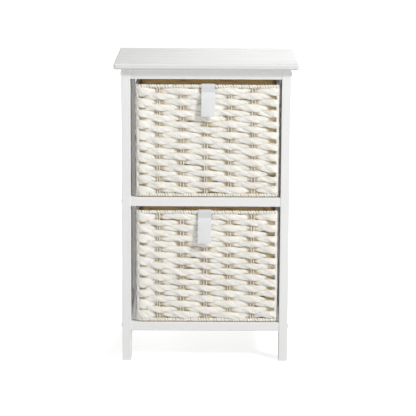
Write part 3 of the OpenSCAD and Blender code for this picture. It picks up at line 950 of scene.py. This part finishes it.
def strap_path(loop, drop):
    """The webbing's middle as (distance, height), up the front, over and back, and the seam's place."""
    gap = STRAP_THICK + 0.0001
    seam = SEAM_DROP - loop
    tail = [drop * part for part in TAIL_PARTS]
    closing = ((0.004, 0.3), (0.0015, 0.85), (0.0, 1.0))
    front = [(-loop, -z) for z in tail]
    front += [(-loop + SEAM_PINCH * share, -seam - down) for down, share in closing]
    seam_at = len(front) - 1
    front += [(-loop + SEAM_PINCH * share, -seam * share) for share in (0.66, 0.33)]
    over = [(-loop * math.cos(a), loop * math.sin(a)) for a in np.linspace(0, math.pi * 1.5, 22)]
    tuck = [(-loop * 0.42, -loop * 1.12), (-loop + gap + SEAM_PINCH, -loop * 1.6)]
    inner = [(-loop + gap + SEAM_PINCH, -seam), (-loop + gap + SEAM_PINCH * 0.3, -seam - 0.004)]
    inner += [(-loop + gap, -z) for z in reversed(tail)]
    return front + over + tuck + inner, seam_at


def strap_cloth(name, path, wide):
    """The webbing without its thickness: the path drawn out across the strap."""
    bm = bmesh.new()
    ends = [bm.verts.new((-wide / 2, y, z)) for y, z in path]
    for first, second in zip(ends, ends[1:]):
        bm.edges.new((first, second))
    draw_out(bm, wide, STRAP_STEPS)
    bmesh.ops.recalc_face_normals(bm, faces=bm.faces)
    return mesh_of(bm, name)


def thicken(made):
    """Gives the webbing its thickness and its soft edges."""
    body = made.modifiers.new("thickness", "SOLIDIFY")
    body.thickness = STRAP_THICK
    body.offset = 0
    body.use_even_offset = True
    edge = made.modifiers.new("soft_edges", "BEVEL")
    edge.width = SOFT_EDGE
    edge.segments = 3
    edge.limit_method = "ANGLE"


def pull_strap(basket, mat, thread_mat):
    """The strap: webbing folded round the rim, with its two layers sewn together under it."""
    node = f"{basket.name}_strap"
    body = f"{basket.name}_pull"
    lo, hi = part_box(node)
    wide = hi.x - lo.x
    joint = [j for j in frame["joints"] if j["name"] == f"{basket.name}_pull_swing"][0]
    rim = Vector(joint["pos_m"])
    loop = basket.rim_r + STRAP_PLAY + STRAP_THICK / 2
    lean = math.radians(STRAP_LEAN)
    drop = (rim.z - lo.z) / math.cos(lean) - STRAP_TRIM
    path, seam = strap_path(loop, drop)
    mesh = strap_cloth(node, path, wide)
    shape_strap(mesh, path, seam, wide)
    turn = Matrix.Translation(rim) @ Matrix.Rotation(-lean, 4, "X")
    mesh.transform(turn)
    thicken(piece(f"{basket.name}_pull_strap", mesh, mat, body, "strap", node))
    seams = stitch_rows(wide, loop, drop, turn)
    piece(f"{basket.name}_strap_seams", seams, thread_mat, body, "strap")


def curl(side, height):
    """How far the hanging webbing curls back, at a part of its half width and a height under the rim."""
    hanging = np.clip((-height - CURL_FROM) / CURL_SPAN, 0, 1)
    return hanging * (CURL_BACK * side**2 + CURL_WAVE * np.sin(3 * side + 40 * height))


def shape_strap(mesh, path, seam, wide):
    """Marks the cloth's own coordinates, from its front seam, and lets its edges curl a little."""
    places = np.array(path)
    gone = np.concatenate([[0], np.cumsum(np.hypot(*np.diff(places, axis=0).T))])
    spots = points_of(mesh)
    nearest = np.argmin(np.abs(spots[:, None, 1:] - places[None]).sum(2), 1)
    cloth = np.stack([spots[:, 0], gone[nearest] - gone[seam], spots[:, 0] * 0], 1)
    side = spots[:, 0] / (wide / 2)
    spots[:, 1] += curl(side, spots[:, 2])
    mesh.vertices.foreach_set("co", spots.ravel())
    kept = mesh.attributes.new("cloth", "FLOAT_VECTOR", "POINT")
    kept.data.foreach_set("vector", np.ascontiguousarray(cloth, np.float32).ravel())
    for polygon in mesh.polygons:
        polygon.use_smooth = True


def stitch_rows(wide, loop, drop, turn):
    """Two rows of stitches across the strap, under the rim and near its end."""
    bm = bmesh.new()
    face = -loop - STRAP_THICK / 2
    sewn = wide - 2 * SEAM_MARGIN
    for z, y in ((loop - SEAM_DROP, face + SEAM_PINCH), (HEM - drop, face)):
        for place in range(STITCHES):
            x = (place + 0.5) / STITCHES * sewn - sewn / 2
            curled = y + curl(2 * x / wide, z)
            spot = Matrix.Translation((x, curled, z)) @ Matrix.Diagonal(STITCH)
            bmesh.ops.create_icosphere(bm, subdivisions=2, radius=1.0, matrix=turn @ spot)
    for polygon in bm.faces:
        polygon.smooth = True
    return mesh_of(bm, "seams")


def weave_basket(basket, mats):
    """Everything that one drawer is made of."""
    for share in range(WEAVE_SHARES):
        wall_weave(basket, mats["strand"], share)
    borders = (("rim", basket.rim_z, basket.rim_r), ("foot", basket.foot_z, basket.foot_r))
    for end, middle, radius in borders:
        border_wrap(basket, mats["border"], end, middle, radius)
        border_core(basket, mats["border"], end, middle, radius)
    stake_pairs(basket, mats["border"])
    half_y = basket.half_y - BASE_GAP_Y
    base_strands(basket, mats["strand"], basket.half_x - BASE_GAP_X, half_y)
    base_stakes(basket, mats["strand"], half_y)
    pull_strap(basket, mats["tape"], mats["thread"])


def finish_frame(paints, grooved, by_slot):
    """Gives each solid its finish. Plain paint runs along its longest side."""
    slots = {s["node"]: s["material_slot"] for s in frame["record"]["subparts"]}
    for name, node in frame["nodes"].items():
        mat = grooved if name == "top_panel" else by_slot.get(slots[name])
        if mat is None:
            lo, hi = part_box(name)
            sides = hi - lo
            mat = paints[max(range(3), key=lambda axis: sides[axis])]
        node.data.materials.clear()
        node.data.materials.append(mat)


def seen_directly(tree):
    """Whether a ray comes from the camera, from gloss or through glass."""
    path = add(tree, "ShaderNodeLightPath").outputs
    seen = math_node(tree, "MAXIMUM", path["Is Camera Ray"], path["Is Glossy Ray"])
    return math_node(tree, "MAXIMUM", seen, path["Is Transmission Ray"])


def pale_floor():
    """The floor: plain and pale, and white to the camera where no shadow falls."""
    bm = bmesh.new()
    bmesh.ops.create_grid(bm, x_segments=1, y_segments=1, size=FLOOR_HALF)
    mesh = mesh_of(bm, "floor")
    floor = bpy.data.objects.new("floor", mesh)
    bpy.context.collection.objects.link(floor)
    mat, tree, shader = material("pale_floor")
    shader.inputs["Base Color"].default_value = (FLOOR_TONE, FLOOR_TONE, FLOOR_TONE, 1)
    shader.inputs["Roughness"].default_value = 0.9
    shader.inputs["Specular IOR Level"].default_value = 0.0
    away = add(tree, "ShaderNodeVectorMath", operation="LENGTH")
    feed(tree, away.inputs[0], own_place(tree))
    glow = fade(tree, away.outputs["Value"], GLOW_FROM, GLOW_FULL, GLOW_NEAR, 1.0)
    shown = math_node(tree, "MULTIPLY", seen_directly(tree), glow)
    shader.inputs["Emission Color"].default_value = (1, 1, 1, 1)
    feed(tree, shader.inputs["Emission Strength"], shown)
    mesh.materials.append(mat)


def studio_world():
    """A white surround to the camera and to gloss, and a soft even light to the rest."""
    world = bpy.data.worlds.new("studio")
    bpy.context.scene.world = world
    world.use_nodes = True
    tree = world.node_tree
    background = tree.nodes["Background"]
    background.inputs["Color"].default_value = (1, 1, 1, 1)
    strength = fade(tree, seen_directly(tree), 0.0, 1.0, WORLD_LIGHT, 1.0)
    feed(tree, background.inputs["Strength"], strength)


def lamp(name, place, aim, size, power):
    """A square area lamp that faces a point."""
    data = bpy.data.lights.new(name, "AREA")
    data.size = size
    data.energy = power
    made = bpy.data.objects.new(name, data)
    bpy.context.collection.objects.link(made)
    made.location = place
    made.rotation_mode = "QUATERNION"
    made.rotation_quaternion = (Vector(aim) - Vector(place)).to_track_quat("-Z", "Y")


def aim_camera():
    """The camera, a long lens in front of the top's front edge and above it, looking slightly down."""
    top_lo, top_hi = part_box("top_panel")
    data = bpy.data.cameras.new("camera")
    made = bpy.data.objects.new("camera", data)
    bpy.context.collection.objects.link(made)
    data.sensor_width = SENSOR
    data.lens = FOCAL_PX / FRAME_PX * SENSOR
    data.clip_end = 100
    made.location = (CAMERA_SIDE, top_lo.y - CAMERA_GAP, top_hi.z + CAMERA_OVER_TOP)
    turn = Matrix.Rotation(-CAMERA_YAW, 3, "Z") @ Matrix.Rotation(math.pi / 2 - CAMERA_PITCH, 3, "X")
    turn = turn @ Matrix.Rotation(CAMERA_ROLL, 3, "Z")
    made.rotation_euler = turn.to_euler()
    bpy.context.scene.camera = made


def paint_frame():
    """Finishes the frame, with brush lines along each piece of wood."""
    paint = brushed_paint_group()
    paints = []
    for axis, name in enumerate(("paint_along_x", "paint_along_y", "paint_upright")):
        lines = [ALONG_GRAIN if side == axis else ACROSS_GRAIN for side in range(3)]
        paints.append(white_paint(name, paint, lines))
    lines = (ALONG_GRAIN, ACROSS_GRAIN, ACROSS_GRAIN)
    # The top's paint carries painted shade in its grooves and on its edges below the top face
    grooved = white_paint("paint_grooved_top", paint, lines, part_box("top_panel")[1].z)
    by_slot = {"steel": zinc_steel(), "dowel": plain_beech(), "cap": moulded_cap()}
    finish_frame(paints, grooved, by_slot)


def main():
    """Builds the whole scene."""
    paint_frame()
    paper = paper_fibre_group()
    mats = {
        "strand": paper_strand("paper_strand", paper, *STRAND_PAINT),
        "border": paper_strand("paper_border", paper, *BORDER_PAINT),
        "tape": cotton_tape(woven_tape_group()),
        "thread": sewing_thread(),
    }
    for name, seed in SEEDS.items():
        weave_basket(Basket(name, seed), mats)
    pale_floor()
    studio_world()
    for values in LAMPS:
        lamp(*values)
    aim_camera()
    bpy.context.scene.view_settings.view_transform = "Standard"


main()
